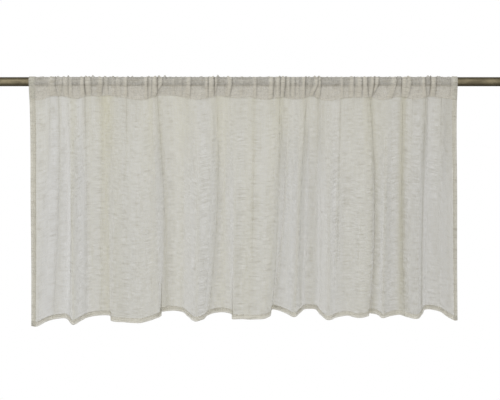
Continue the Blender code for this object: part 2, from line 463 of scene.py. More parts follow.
BENDS = (
    Bend(0, -8, 2, 46),
    Bend(12, 1, 2, 51),
    Bend(50, 25, 2, 18),
    Bend(69, 43, 6, -2),
    Bend(83, 66, 5, -8),
    Bend(101, 97, 0, 45),
    Bend(119, 114, 0, 12),
    Bend(134, 131, 0, -13),
    Bend(160, 154, 0, -22),
    Bend(179, 177, 0, -22),
    Bend(206, 191, 0, 27),
    Bend(227, 220, 0, 35),
    Bend(258, 256, 0, 46),
    Bend(286, 287, 2, 26),
    Bend(303, 311, 6, -12),
    Bend(316, 307, 6, -35),
    Bend(334, 332, 4, -44),
    Bend(362, 357, 2, -37),
    Bend(384, 377, 2, 5),
    Bend(408, 400, 3, 45),
    Bend(428, 415, 6, 31),
    Bend(446, 430, 9, -6),
    Bend(463, 455, 5, -22),
    Bend(475, 480, 0, -12),
    Bend(482, 488, 0, 6),
    Bend(499, 489, 0, 36),
    Bend(514, 501, 0, 34),
    Bend(543, 532, 0, 38),
    Bend(584, 566, 4, 32),
    Bend(601, 582, 6, 9),
    Bend(610, 584, 6, -22),
    Bend(621, 588, 5, -42),
    Bend(632, 612, 3, -22),
    Bend(652, 642, 2, 19),
    Bend(668, 658, 2, -18),
    Bend(680, 671, 0, -44),
    Bend(694, 691, 0, -44),
    Bend(704, 705, 0, -2),
    Bend(722, 727, 0, 43),
    Bend(740, 744, 0, 24),
    Bend(772, 774, 0, 8),
    Bend(796, 799, 4, 26),
    Bend(816, 826, 10, 10),
    Bend(826, 829, 12, -10),
    Bend(840, 845, 8, -3),
    Bend(857, 859, 2, 26),
    Bend(878, 882, 0, 10),
    Bend(898, 903, 0, 1),
    Bend(918, 922, 0, 21),
    Bend(938, 943, 0, 33),
    Bend(957, 960, -2, -3),
    Bend(968, 975, 0, -42),
    Bend(986, 994, 0, -36),
    Bend(1012, 1026, 0, 28),
    Bend(1024, 1038, 0, 45),
    Bend(1030, 1043, 0, 42),
)


class Tuck(NamedTuple):
    """One gather on the rod, in millimetres from the cloth's left edge.

    crest is the place of its ridge on the rod, slit the place of the groove
    beside it, rise the height of the ridge, reach how far it runs on below the
    seam, and lean how far left it has come where it meets the seam.
    """

    crest: float
    slit: float
    rise: float
    reach: float
    lean: float = 0.0


TUCKS = (
    Tuck(54, 64, 2.4, 30, -3),
    Tuck(76, 81, 1.6, 18, 5),
    Tuck(88, 95, 2.4, 28),
    Tuck(99, 105, 1.8, 20),
    Tuck(128, 134, 5.4, 60, -2),
    Tuck(141, 150, 2.8, 26),
    Tuck(172, 179, 3.4, 34, 5),
    Tuck(186, 191, 1.4, 20),
    Tuck(203, 208, 1.1, 20),
    Tuck(214, 221, 1.4, 20),
    Tuck(232, 237, 2.6, 90),
    Tuck(281, 286, 2.8, 26),
    Tuck(292, 296, 1.6, 26, 3),
    Tuck(302, 309, 4.0, 60),
    Tuck(317, 322, 2.8, 30, 19),
    Tuck(347, 351, 1.2, 18),
    Tuck(364, 369, 1.1, 18),
    Tuck(383, 390, 2.8, 26, 3),
    Tuck(427, 431, 2.8, 24),
    Tuck(438, 446, 4.6, 90),
    Tuck(450, 454, 2.2, 30, 5),
    Tuck(482, 489, 3.4, 60, 6),
    Tuck(511, 515, 0.9, 20),
    Tuck(543, 548, 2.6, 110),
    Tuck(582, 589, 3.8, 30, 2),
    Tuck(598, 604, 3.2, 50),
    Tuck(611, 617, 4.2, 40, 3),
    Tuck(623, 628, 2.4, 24),
    Tuck(635, 640, 2.2, 24),
    Tuck(646, 650, 1.1, 18),
    Tuck(660, 665, 4.0, 140),
    Tuck(675, 680, 1.1, 18, 6),
    Tuck(690, 695, 3.0, 30, 12),
    Tuck(697, 703, 3.0, 34, 3),
    Tuck(752, 757, 1.8, 20),
    Tuck(775, 782, 2.6, 26),
    Tuck(793, 801, 3.0, 30),
    Tuck(808, 814, 4.8, 40, -3),
    Tuck(825, 830, 4.0, 90, 5),
    Tuck(836, 841, 3.0, 26, 15),
    Tuck(876, 884, 2.4, 24, 9),
    Tuck(902, 895, 4.4, 110),
    Tuck(913, 920, 2.8, 30, 8),
    Tuck(948, 953, 3.4, 26, -5),
    Tuck(971, 965, 3.9, 70, 2),
    Tuck(972, 979, 3.2, 30),
    Tuck(1019, 1013, 1.6, 24),
)


class Peak(NamedTuple):
    """One small crumple that stands up above the rod: its place and height, in millimetres."""

    place: float
    height: float


PEAKS = (
    Peak(3, 1.2),
    Peak(17, 0.9),
    Peak(34, 2.1),
    Peak(58, 1.3),
    Peak(63, 2.4),
    Peak(70, 2.3),
    Peak(84, 2.3),
    Peak(94, 4.1),
    Peak(125, 1.4),
    Peak(137, 4.3),
    Peak(144, 2.3),
    Peak(154, 5.1),
    Peak(183, 3.0),
    Peak(202, 3.5),
    Peak(238, 1.7),
    Peak(248, 2.4),
    Peak(288, 3.9),
    Peak(303, 3.9),
    Peak(313, 3.6),
    Peak(327, 5.2),
    Peak(375, 1.2),
    Peak(416, 1.7),
    Peak(433, 1.1),
    Peak(442, 2.7),
    Peak(454, 5.1),
    Peak(478, 2.6),
    Peak(512, 1.1),
    Peak(577, 2.0),
    Peak(603, 4.0),
    Peak(610, 2.6),
    Peak(618, 2.9),
    Peak(666, 3.4),
    Peak(687, 4.6),
    Peak(697, 2.6),
    Peak(774, 1.7),
    Peak(783, 1.8),
    Peak(807, 2.3),
    Peak(822, 1.2),
    Peak(831, 3.2),
    Peak(841, 1.0),
    Peak(867, 0.9),
    Peak(887, 3.2),
    Peak(911, 4.0),
    Peak(942, 1.7),
    Peak(959, 4.1),
    Peak(966, 4.1),
    Peak(983, 3.0),
    Peak(988, 2.8),
    Peak(1019, 1.5),
    Peak(1026, 1.9),
)


class Lift(NamedTuple):
    """How far the gathers draw the pocket's seam up at one place, in millimetres."""

    place: float
    rise: float


SEAM_LINE = (
    Lift(0, 1.0),
    Lift(28, 0.0),
    Lift(50, 8.0),
    Lift(72, 7.5),
    Lift(100, 5.0),
    Lift(114, 2.5),
    Lift(135, 7.5),
    Lift(172, 7.5),
    Lift(202, 9.0),
    Lift(222, 6.0),
    Lift(256, 0.5),
    Lift(275, 0.0),
    Lift(302, 7.5),
    Lift(355, 7.5),
    Lift(385, 3.0),
    Lift(403, 0.5),
    Lift(425, 3.5),
    Lift(450, 7.5),
    Lift(500, 5.0),
    Lift(520, 7.0),
    Lift(548, 2.5),
    Lift(568, 0.5),
    Lift(604, 5.0),
    Lift(632, 0.5),
    Lift(655, 2.5),
    Lift(677, 7.0),
    Lift(700, 0.5),
    Lift(722, -2.0),
    Lift(746, 2.0),
    Lift(790, 5.0),
    Lift(822, 5.0),
    Lift(848, 0.0),
    Lift(870, 3.0),
    Lift(893, 7.0),
    Lift(912, 4.0),
    Lift(930, 0.0),
    Lift(958, 6.5),
    Lift(985, 4.0),
    Lift(1010, 2.5),
    Lift(1030, 1.0),
)


class Pleat(NamedTuple):
    """One narrow lap that runs down the hanging cloth.

    top, middle and foot are its place across, in millimetres from the cloth's
    left edge, at the seam, half-way down and at the lower edge. lap is how far
    it laps over, and soft_top and soft_foot are how wide the band beside it is
    where the cloth is made denser, also in millimetres. front is 1 where the
    cloth on its left lies in front and -1 where the right does. start and end
    are the shares of the drop between which it shows, and dense how much denser
    the cloth is made there: partly yarns lying closer in the lap, partly painted
    fold shade, darker and warmer.
    """

    top: float
    middle: float
    foot: float
    lap: float
    soft_top: float
    soft_foot: float
    front: int
    start: float
    end: float
    dense: float


PLEATS = (
    Pleat(50, 38, 25, 0.18, 4, 3, 1, -0.5, 0.45, 0.06),
    Pleat(70, 62, 40, 0.29, 4, 7, 1, -0.5, 1.5, 0.10),
    Pleat(101, 97, 84, 0.09, 4, 5, -1, 0.25, 1.5, 0.06),
    Pleat(133, 130, 120, 0.2, 5, 6, 1, -0.5, 1.5, 0.08),
    Pleat(175, 166, 158, 0.07, 5, 4, -1, -0.5, 1.5, 0.05),
    Pleat(234, 228, 222, 0.18, 3, 3, 1, -0.5, 0.45, 0.06),
    Pleat(307, 320, 320, 0.30, 6, 11, 1, -0.5, 1.5, 0.10),
    Pleat(451, 451, 427, 0.34, 6, 9, -1, -0.5, 1.5, 0.06),
    Pleat(540, 538, 531, 0.18, 5, 4, 1, -0.5, 0.85, 0.08),
    Pleat(603, 599, 588, 0.20, 7, 12, -1, -0.5, 1.5, 0.05),
    Pleat(669, 655, 657, 0.26, 5, 5, 1, -0.5, 1.5, 0.03),
    Pleat(695, 696, 696, 0.23, 4, 3, -1, -0.5, 0.35, 0.08),
    Pleat(750, 746, 744, 0.12, 4, 4, 1, -0.5, 0.85, 0.10),
    Pleat(820, 837, 833, 0.34, 8, 9, -1, -0.5, 1.5, 0.10),
    Pleat(900, 903, 915, 0.41, 8, 10, 1, -0.5, 1.5, 0.15),
    Pleat(923, 922, 922, 0.14, 4, 3, -1, -0.5, 0.35, 0.05),
    Pleat(955, 953, 957, 0.26, 7, 9, -1, -0.5, 1.5, 0.07),
    Pleat(993, 998, 1004, 0.12, 4, 3, 1, -0.5, 0.35, 0.05),
)


class Streak(NamedTuple):
    """One upright streak of the weave, in millimetres from the cloth's left edge.

    place is across, half-way down, and spread how wide it is. warm is how much
    yellower the cloth is made there, and dense how much denser: partly the
    weave's own streaks, partly painted light and shade of the folds.
    """

    place: float
    spread: float
    warm: float
    dense: float


STREAKS = (
    Streak(52, 20, -0.23, -0.045),
    Streak(85, 12, -0.14, -0.09),
    Streak(101, 9, 0.22, 0.0),
    Streak(119, 10, -0.14, -0.04),
    Streak(141, 7, 0.14, 0.0),
    Streak(158, 9, 0.0, -0.025),
    Streak(181, 18, 0.5, 0.035),
    Streak(216, 26, -0.06, 0.05),
    Streak(294, 9, 0.3, 0.0),
    Streak(345, 60, 0.22, -0.01),
    Streak(353, 10, 0.0, -0.045),
    Streak(361, 19, 0.28, 0.0),
    Streak(417, 18, -0.12, -0.03),
    Streak(463, 19, 0.6, -0.045),
    Streak(530, 60, 0.24, 0.0),
    Streak(564, 14, 0.0, -0.035),
    Streak(602, 24, 0.5, 0.0),
    Streak(630, 16, 0.0, -0.055),
    Streak(668, 19, 0.48, 0.0),
    Streak(676, 9, 0.0, -0.035),
    Streak(704, 14, 0.1, 0.02),
    Streak(736, 18, 0.06, -0.055),
    Streak(775, 60, 0.22, 0.0),
    Streak(830, 20, 0.56, 0.0),
    Streak(857, 14, 0.05, 0.02),
    Streak(900, 8, 0.1, 0.07),
    Streak(907, 15, 0.34, 0.0),
    Streak(932, 10, -0.2, 0.0),
    Streak(955, 8, 0.08, 0.05),
    Streak(974, 12, -0.15, -0.06),
    Streak(981, 10, 0.24, 0.0),
    Streak(1012, 15, -0.22, 0.15),
)


def column(rows: tuple, name: str) -> np.ndarray:
    """One named column of a table, in metres."""
    return np.array([getattr(row, name) for row in rows], float) * MM


def smooth(share: np.ndarray) -> np.ndarray:
    """An S curve from 0 to 1."""
    share = np.clip(share, 0, 1)
    return share * share * (3 - 2 * share)


def through(knots: np.ndarray, values: np.ndarray, at: np.ndarray) -> np.ndarray:
    """Cubic curve through the values, with the slopes of a hanging fold.

    Args:
        knots: places along the cloth.
        values: one value at each.
        at: the places asked for.

    Returns:
        The value at each place.
    """
    steps = np.diff(knots)
    rates = np.diff(values) / steps
    slopes = np.empty_like(values)
    slopes[0] = rates[0]
    slopes[-1] = rates[-1]
    weighed = rates[:-1] * steps[1:] + rates[1:] * steps[:-1]
    slopes[1:-1] = weighed / (steps[1:] + steps[:-1])
    cell = np.clip(np.searchsorted(knots, at) - 1, 0, len(steps) - 1)
    step = steps[cell]
    share = (at - knots[cell]) / step
    start = values[cell] * (1 + 2 * share) * (1 - share) ** 2
    end = values[cell + 1] * share**2 * (3 - 2 * share)
    turn_in = slopes[cell] * step * share * (1 - share) ** 2
    turn_out = slopes[cell + 1] * step * share**2 * (share - 1)
    return start + end + turn_in + turn_out


def ripple(at: np.ndarray, wave: float, seed: int) -> np.ndarray:
    """Uneven waves of about this length, from -1 to 1.

    Args:
        at: places along the cloth.
        wave: the usual length of a wave.
        seed: which of the patterns.

    Returns:
        The height at each place.
    """
    chance = np.random.default_rng(seed)
    total = np.zeros_like(at)
    for _ in range(5):
        turns = math.tau / (wave * chance.uniform(0.6, 1.7))
        total += np.sin(at * turns + chance.uniform(0, math.tau)) * 0.42
    return total


@dataclass
class HangingCloth:
    """The curtain's cloth as it hangs: places on it, from places on the flat cloth."""

    left: float = 0.13
    across: float = 1.03
    rod_radius: float = 11.0 * MM
    rest_gap: float = 0.5 * MM
    seam_depth: float = 43.0 * MM
    hem_depth: float = 0.590
    corner_sag: float = 14 * MM
    sag_width: float = 0.49
    wrap: float = math.radians(20)
    fold_at_seam: float = 0.12
    full_fold_at: float = 0.50
    fold_lean: float = 1.6
    tuck_at_seam: float = 0.35
    tuck_lap: float = 0.4
    least_step: float = 0.02 * MM  # between two columns, so that no tuck folds through itself
    rod_gap: float = 0.5 * MM
    hem_room: float = 1.2 * MM  # for the turned layers of a side hem, inside the pocket
    hem_width: float = 14 * MM
    peak_width: float = 2.4 * MM
    edge: float = 12 * MM
    knots: np.ndarray = field(init=False)
    width: float = field(init=False)

    def __post_init__(self) -> None:
        """Measure the cloth along its lower edge."""
        chords = np.hypot(np.diff(column(BENDS, "foot")), np.diff(column(BENDS, "out")))
        self.knots = np.concatenate([[0.0], np.cumsum(chords)])
        self.width = float(self.knots[-1])

    @property
    def drop(self) -> float:
        """From the seam down to the lower edge."""
        return self.hem_depth - self.seam_depth

    @property
    def pocket_wrap(self) -> float:
        """Length of cloth that follows the rod, from front to back."""
        return (self.rod_radius + self.rest_gap) * (math.pi + 2 * self.wrap)

    @property
    def pocket_side(self) -> float:
        """Length of cloth between the seam and the wrapped part, on one side."""
        radius = self.rod_radius + self.rest_gap
        below = self.seam_depth - radius * math.sin(self.wrap)
        return math.hypot(radius * math.cos(self.wrap), below)

    @property
    def length(self) -> float:
        """Of the flat cloth, from the back of the pocket to the lower edge."""
        return self.drop + self.pocket_wrap + 2 * self.pocket_side

    def curve(self, name: str, at: np.ndarray) -> np.ndarray:
        """One column of the bends as a curve of the place along the cloth."""
        return through(self.knots, column(BENDS, name), at)

    def tucks(self, top: np.ndarray, below: float) -> tuple:
        """How the tucks push the cloth out and sideways, and where they gather it.

        Args:
            top: places across the rod.
            below: how far below the seam, or above it where negative.

        Returns:
            The push into the room, the shift along the rod, and how much each
            place belongs to a ridge, which is made denser, and to a slit, where
            shade is painted.
        """
        out, shift, dense, crease = (np.zeros_like(top) for _ in range(4))
        inner = smooth(top / self.edge) * smooth((self.across - top) / self.edge)
        down = 1000 * max(below, 0.0)
        away = 1 - min(max(-below, 0.0) / self.pocket_side, 1.0)
        for tuck in TUCKS:
            apart = abs(tuck.slit - tuck.crest) * MM
            crest = (tuck.crest - tuck.lean * away) * MM
            slit = (tuck.slit - tuck.lean * away) * MM
            strong = min(0.55 + tuck.rise / 8, 1.0)
            ridge = np.exp(-(((top - crest) / (0.75 * apart)) ** 2))
            out += tuck.rise * MM * ridge * math.exp(-((down / tuck.reach) ** 1.5))
            wide = 0.5 * apart + 0.6 * MM
            beside = (top - slit) / wide
            held = math.exp(-down / (0.2 * tuck.reach))
            shift -= self.tuck_lap * strong * wide * beside * np.exp(-(beside**2)) * held
            seen = min(tuck.rise / 3.6, 1.0) * held
            ridge = (top - crest) / (0.55 * apart + 1.0 * MM)
            dense = np.maximum(dense, seen * np.exp(-(ridge**2)))
            groove = (top - slit) / ((0.9 + 0.24 * tuck.rise) * MM)
            crease = np.maximum(crease, seen * np.exp(-(groove**2)))
        return out, shift * inner, dense * (1 - crease), crease

    def peaks(self, top: np.ndarray) -> np.ndarray:
        """How far the crumples stand up above the rod."""
        up = np.zeros_like(top)
        for peak in PEAKS:
            off = (top - peak.place * MM) / self.peak_width
            up = np.maximum(up, peak.height * MM * np.exp(-(off**2)))
        return up

    def base_across(self, at: np.ndarray, share: float) -> np.ndarray:
        """Place across of the hanging folds, before their narrow laps."""
        top, foot = self.curve("top", at), self.curve("foot", at)
        swing = 4 * share * (1 - share) * self.curve("bow", at)
        return top + (foot - top) * share**self.fold_lean + swing

    def laps(self, at: np.ndarray, share: float) -> tuple:
        """How the pleats push the cloth sideways and out, and how they bunch its yarns.

        Args:
            at: places along the cloth's width.
            share: of the drop.

        Returns:
            The shift along the rod, the push into the room, and the added density,
            which is partly closer yarns and partly painted fold shade.
        """
        even = np.linspace(0, self.width, 700)
        base = np.maximum.accumulate(self.base_across(even, share))
        across = np.interp(at, even, base)
        shift, out, bunched = np.zeros_like(at), np.zeros_like(at), np.zeros_like(at)
        for pleat in PLEATS:
            shown = smooth(np.array((share - pleat.start) / 0.3))
            shown = float(shown * smooth(np.array((pleat.end - share) / 0.3)))
            if shown <= 0:
                continue
            lap = pleat.lap * MM
            place = pleat.top * (1 - share) * (1 - 2 * share)
            place += pleat.middle * 4 * share * (1 - share)
            place = (place + pleat.foot * share * (2 * share - 1)) * MM
            centre = np.interp(place, base, even)
            wide = 1.4 * MM + 0.75 * lap
            off = (at - centre) / wide
            size = shown * (lap + 0.75 * wide) / 0.858
            shift -= size * off * np.exp(-(off**2))
            deep = shown * pleat.front * (0.5 * MM + 0.10 * lap)
            out -= deep * np.tanh(1.6 * off) * np.exp(-((off / 2.6) ** 2))
            spread = (pleat.soft_top + (pleat.soft_foot - pleat.soft_top) * share) * MM
            bunched += shown * pleat.dense * np.exp(-(((across - place) / spread) ** 2))
        return shift, out, bunched

    def body(self, at: np.ndarray, share: float) -> np.ndarray:
        """Points across the hanging cloth.

        Args:
            at: places along the cloth's width.
            share: of the drop, from 0 at the seam to 1 at the lower edge.

        Returns:
            One point for each place.
        """
        top, foot = self.curve("top", at), self.curve("foot", at)
        sag = self.corner_sag * np.clip(1 - foot / self.sag_width, 0, 1)
        seam = self.seam_height(top)
        height = seam + (-self.hem_depth - sag - seam) * share
        slide, lapped, _ = self.laps(at, share)
        across = self.base_across(at, share) + slide
        growth = smooth(np.array(share / self.full_fold_at))
        growth = self.fold_at_seam + (1 - self.fold_at_seam) * growth
        held = self.tuck_at_seam + (1 - self.tuck_at_seam) * smooth(np.array(10 * share))
        push, shift, _, _ = self.tucks(top, share * self.drop)
        out = self.curve("out", at) * growth + push * held + lapped
        fade = math.exp(-share * 9)
        out += ripple(top, 11 * MM, 3) * 0.5 * MM * fade * held
        drift = 30 * MM * math.sin(2.4 * share)
        out += ripple(at + drift, 46 * MM, 5) * 0.7 * MM * smooth(np.array(share * 3))
        out += ripple(at - drift, 23 * MM, 6) * 0.3 * MM * smooth(np.array(share * 4))
        return np.column_stack([self.left + across + shift, -out, height])

    def streaks(self, at: np.ndarray) -> tuple:
        """How warm and how dense the cloth is made at each place along the width: partly the
        weave, partly painted fold light and shade.
        """
        middle = self.base_across(at, 0.5)
        warm, dense = np.zeros_like(at), np.zeros_like(at)
        for streak in STREAKS:
            near = np.exp(-(((middle - streak.place * MM) / (streak.spread * MM)) ** 2))
            warm += streak.warm * near
            dense += streak.dense * near
        return warm, dense

    def seam_height(self, top: np.ndarray) -> np.ndarray:
        """Height of the pocket's seam, which the gathers draw up in places."""
        lift = through(column(SEAM_LINE, "place"), column(SEAM_LINE, "rise"), top)
        return lift - self.seam_depth

    def above_seam(self, share: float) -> float:
        """Length of cloth between the nearer seam and this share of the pocket."""
        whole = self.pocket_wrap + 2 * self.pocket_side
        return min(share, 1 - share) * whole

    def pocket(self, at: np.ndarray, share: float) -> np.ndarray:
        """Points across the rod pocket.

        Args:
            at: places along the cloth's width.
            share: from 0 at the seam in front, over the rod, to 1 at the seam behind.

        Returns:
            One point for each place.
        """
        top = self.curve("top", at)
        whole = self.pocket_wrap + 2 * self.pocket_side
        run = share * whole
        push, shift, _, _ = self.tucks(top, -self.above_seam(share))
        radius = self.rod_radius + self.rest_gap
        fine = ripple(top, 16 * MM, 2) * 0.7 * MM + ripple(top, 7 * MM, 4) * 0.45 * MM
        seam = self.seam_height(top)
        lean = self.curve("out", at) * self.fold_at_seam
        if run < self.pocket_side or run > whole - self.pocket_side:
            behind = run > self.pocket_side
            part = (whole - run if behind else run) / self.pocket_side
            side = -1.0 if behind else 1.0
            held = self.tuck_at_seam + (1 - self.tuck_at_seam) * smooth(np.array(1.6 * part))
            swell = (push + np.clip(fine, -0.8 * MM * (1 - part), None)) * held
            swell = swell * (0.4 if behind else 1.0)
            swell += 1.6 * MM * math.sin(math.pi * min(part, 1.0))
            near = side * (radius * math.cos(self.wrap)) * part + lean * (1 - part)
            out = near + side * swell
            height = seam + (-radius * math.sin(self.wrap) - seam) * part
        else:
            angle = (run - self.pocket_side) / radius - self.wrap
            facing, up = math.cos(angle), math.sin(angle)
            front = smooth(np.array(0.5 + 1.2 * facing))
            swell = np.clip(push, -0.1 * MM, None) * (0.4 + 0.6 * front) * (1 - abs(up) ** 2)
            swell += 1.25 * self.peaks(top) * max(up, 0.0) ** 2 * (0.6 + 0.4 * front)
            swell += np.clip(fine, -0.3 * MM, None) + 0.15 * MM
            out = (radius + swell) * facing
            height = (radius + swell) * up
        slide, _, _ = self.laps(at, 0.0)
        slide *= 1 - 2.2 * min(share, 1 - share)
        points = np.column_stack([self.left + top + shift + slide, -out, height])
        steps = self.least_step * np.arange(len(at))
        points[:, 0] = np.maximum.accumulate(points[:, 0] - steps) + steps
        from_side = np.minimum(at, self.width - at)
        room = self.rod_radius + self.rod_gap + self.hem_room * (from_side < self.hem_width)
        clear = np.hypot(points[:, 1], points[:, 2]) / room
        points[:, 1:] /= np.minimum(clear, 1.0)[:, None]
        return points


class Face(Enum):
    """The two faces of the cloth."""

    ROOM = -1
    WINDOW = 1


@dataclass
class CurtainCloth:
    """The curtain: one length of cloth with its rod pocket and its turned hems."""

    shape: HangingCloth
    finish: LinenFinish = LinenFinish()
    side_hem: float = 12.5 * MM
    lower_hem: float = 12 * MM
    turn_gap: float = 0.55 * MM
    ridge_dense: float = 0.42  # how much closer the yarns lie on a tuck in the pocket
    tuck_dense: float = 0.05  # and below the seam
    seam_dense: float = 0.05  # and just below the seam all along
    flank_painted_light: float = 0.19  # painted light: how much lighter and less yellow the sides of the folds that turn sideways are made, by thinning the cloth there
    rod_shade: float = 0.10  # painted shade: how dark the cloth is painted just under the rod
    rod_shade_place: float = 0.31  # that painted shade's place up the pocket, as a share of it
    rod_shade_half: float = 0.03
    slit_painted_shade: float = 0.8  # painted shade: how dark the slit beside a tuck is painted
    slit_below: float = 0.25  # how much of that shows below the seam
    slit_at_seam: float = 0.3  # and at the seam
    slit_gain: float = 0.45  # more shows by slit_reach up the pocket
    slit_reach: float = 0.12
    slit_loss: float = 0.15  # and a little less over the rod
    rod_foot: float = 0.25  # the rod's lower edge, as a share of the pocket
    rod_blend: float = 0.1
    warm: float = 0.34  # how yellow the plain yarns are
    columns: int = 1150
    body_rows: int = 46
    pocket_rows: int = 30
    hem_rows: int = 3
    map_gap: float = 1 * MM  # between the turned layers on the flat cloth's map
    flat: tuple = field(init=False)
    piece: bpy.types.Object = field(init=False)

    def stations(self) -> np.ndarray:
        """Places along the width, half spread by the gathers, half by the folds."""
        shape = self.shape
        even = np.linspace(0, shape.width, 4000)
        spread = shape.curve("top", even) / shape.across + even / shape.width
        inner = np.interp(np.linspace(0, 2, self.columns), spread, even)
        hem = np.linspace(0, self.side_hem, self.hem_rows + 1)
        middle = inner[(inner > self.side_hem) & (inner < shape.width - self.side_hem)]
        return np.concatenate([hem, middle[1:-1], shape.width - hem[::-1]])

    def build(self) -> None:
        """Make the sheet: its own grid, then the turned hems along three edges."""
        shape = self.shape
        at = self.stations()
        hem_line = 1 - self.lower_hem / shape.drop
        spread = np.linspace(0, 1, self.body_rows) ** 1.45
        shares = [*(spread[:-1] * hem_line), *np.linspace(hem_line, 1, self.hem_rows + 1)]
        pocket = np.linspace(1, 0, self.pocket_rows)[:-1]
        rows = [shape.pocket(at, share) for share in pocket]
        rows += [shape.body(at, share) for share in shares]
        grid = np.array(rows)
        run = [(1 - share) * (shape.length - shape.drop) for share in pocket]
        run += [shape.length - shape.drop + share * shape.drop for share in shares]
        along = np.array(run)

        down = np.gradient(grid, axis=0)
        right = np.gradient(grid, axis=1)
        away = np.cross(right, down)
        away /= np.linalg.norm(away, axis=2, keepdims=True) + 1e-12
        if away[len(pocket) + 20, :, 1].mean() < 0:
            away = -away

        deep, wide = len(along) - 1, len(at) - 1
        turn, gap = self.hem_rows, 2 * self.map_gap
        rows_used = [(n, 0.0, along[n]) for n in range(deep + 1)]
        rows_used += [
            (deep - n, 2.0, along[deep] + (along[deep] - along[deep - n]) + self.map_gap)
            for n in range(turn + 1)
        ]
        rows_used += [
            (deep - turn + n, 1.0, along[deep] + gap + self.lower_hem * (1 + n / turn))
            for n in range(1, turn)
        ]
        cols_used = [(n, 0.0, at[n]) for n in range(wide + 1)]
        right_turn = [
            (wide - n, 2.0, at[wide] + at[n] + self.map_gap) for n in range(turn + 1)
        ]
        right_turn += [
            (wide - turn + n, 1.0, at[wide] + gap + self.side_hem * (1 + n / turn))
            for n in range(1, turn)
        ]
        left_turn = [(n, 2.0, -at[n] - self.map_gap) for n in range(turn + 1)]
        left_turn += [
            (turn - n, 1.0, -gap - self.side_hem * (1 + n / turn)) for n in range(1, turn)
        ]
        cols_used = [*left_turn[::-1], *cols_used, *right_turn]

        row_index = np.array([r[0] for r in rows_used])
        col_index = np.array([c[0] for c in cols_used])
        layer = np.array([r[1] for r in rows_used])[:, None] + np.array(
            [c[1] for c in cols_used]
        )
        top = shape.curve("top", at)
        # the weave's streaks: partly its own tone, partly painted fold light and shade
        warm, dense = shape.streaks(at)
        bunched, crease = [], []
        # painted shade: the slits beside the tucks and a band just under the rod
        for share in pocket:
            _, _, ridge, slit = shape.tucks(top, -shape.above_seam(share))
            bunched.append(self.ridge_dense * ridge)
            seen = self.slit_at_seam + self.slit_gain * smooth(np.array(share / self.slit_reach))
            seen -= self.slit_loss * smooth(np.array((share - self.rod_foot) / self.rod_blend))
            off = (share - self.rod_shade_place) / self.rod_shade_half
            shade = self.rod_shade * math.exp(-(off**2))
            crease.append(self.slit_painted_shade * slit * seen + shade)
        for share, turned in zip(shares, 1 - np.abs(away[len(pocket):, :, 1])):
            _, _, ridge, slit = shape.tucks(top, share * shape.drop)
            # painted light: the sides of the folds that turn sideways are thinned, so that they
            # show lighter
            thin = self.flank_painted_light * turned * smooth(np.array(2 * share))
            thin -= self.seam_dense * (1 - smooth(np.array(3 * share)))
            # closer yarns in the laps and on the tucks, with painted fold shade along the pleats
            bunches = shape.laps(at, share)[2] + self.tuck_dense * ridge
            bunched.append(bunches + dense - thin)
            # painted shade in the slits, below the seam
            crease.append(self.slit_painted_shade * slit * self.slit_below)
        bunched, crease = np.array(bunched), np.array(crease)
        picked = np.ix_(row_index, col_index)
        points = grid[picked] + away[picked] * (layer * self.turn_gap)[:, :, None]
        flat_down = np.array([r[2] for r in rows_used])
        flat_across = np.array([c[2] for c in cols_used])
        looks = {"bunched": bunched[picked], "crease": crease[picked]}
        looks["warm"] = np.broadcast_to(self.warm + warm, grid.shape[:2])[picked]
        self.make_mesh(points, flat_across - flat_across[0], flat_down, looks)

    def make_mesh(
        self, points: np.ndarray, across: np.ndarray, down: np.ndarray, looks: dict
    ) -> None:
        """Turn the grid into a mesh with a map of the flat cloth.

        Args:
            points: rows by columns by 3.
            across: place of each column on the flat cloth.
            down: place of each row on it.
            looks: name to a number for each point, which the finish reads.
        """
        high, wide = points.shape[:2]
        index = np.arange(high * wide).reshape(high, wide)
        quads = np.stack(
            [index[:-1, :-1], index[1:, :-1], index[1:, 1:], index[:-1, 1:]], axis=-1
        ).reshape(-1, 4)
        mesh = bpy.data.meshes.new("curtain_cloth")
        mesh.vertices.add(high * wide)
        mesh.vertices.foreach_set("co", points.reshape(-1).astype(np.float32))
        mesh.loops.add(quads.size)
        mesh.loops.foreach_set("vertex_index", quads.reshape(-1).astype(np.int32))
        mesh.polygons.add(len(quads))
        mesh.polygons.foreach_set("loop_start", np.arange(0, quads.size, 4, dtype=np.int32))
        mesh.update(calc_edges=True)
        self.flat = (float(across[-1]), float(down[-1]))
        place = np.empty((high, wide, 2), np.float32)
        place[:, :, 0] = across[None, :] / across[-1]
        place[:, :, 1] = 1 - down[:, None] / down[-1]
        layer = mesh.uv_layers.new(name="OFBake")
        layer.uv.foreach_set("vector", place.reshape(-1, 2)[quads.reshape(-1)].ravel())
        for name, values in looks.items():
            kept = mesh.attributes.new(name, "FLOAT", "POINT")
            kept.data.foreach_set("value", values.reshape(-1).astype(np.float32))
        mesh.shade_smooth()
        self.piece = bpy.data.objects.new("curtain_cloth", mesh)
        bpy.context.scene.collection.objects.link(self.piece)

    def dress(self, stitches: list) -> None:
        """Give the cloth its finish, hang it on the body and hide the model's own curtain.

        Args:
            stitches: the pieces sewn into it; not used.
        """
        shape = self.shape
        layers = 3 - 1 / self.hem_rows
        hems = (layers * self.side_hem + 2 * MM, layers * self.lower_hem + 2 * MM)
        linen = self.finish.material(self.flat, shape.length - shape.drop, hems)
        self.piece.data.materials.append(linen)
        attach(self.piece, BODY)
        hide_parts("curtain")


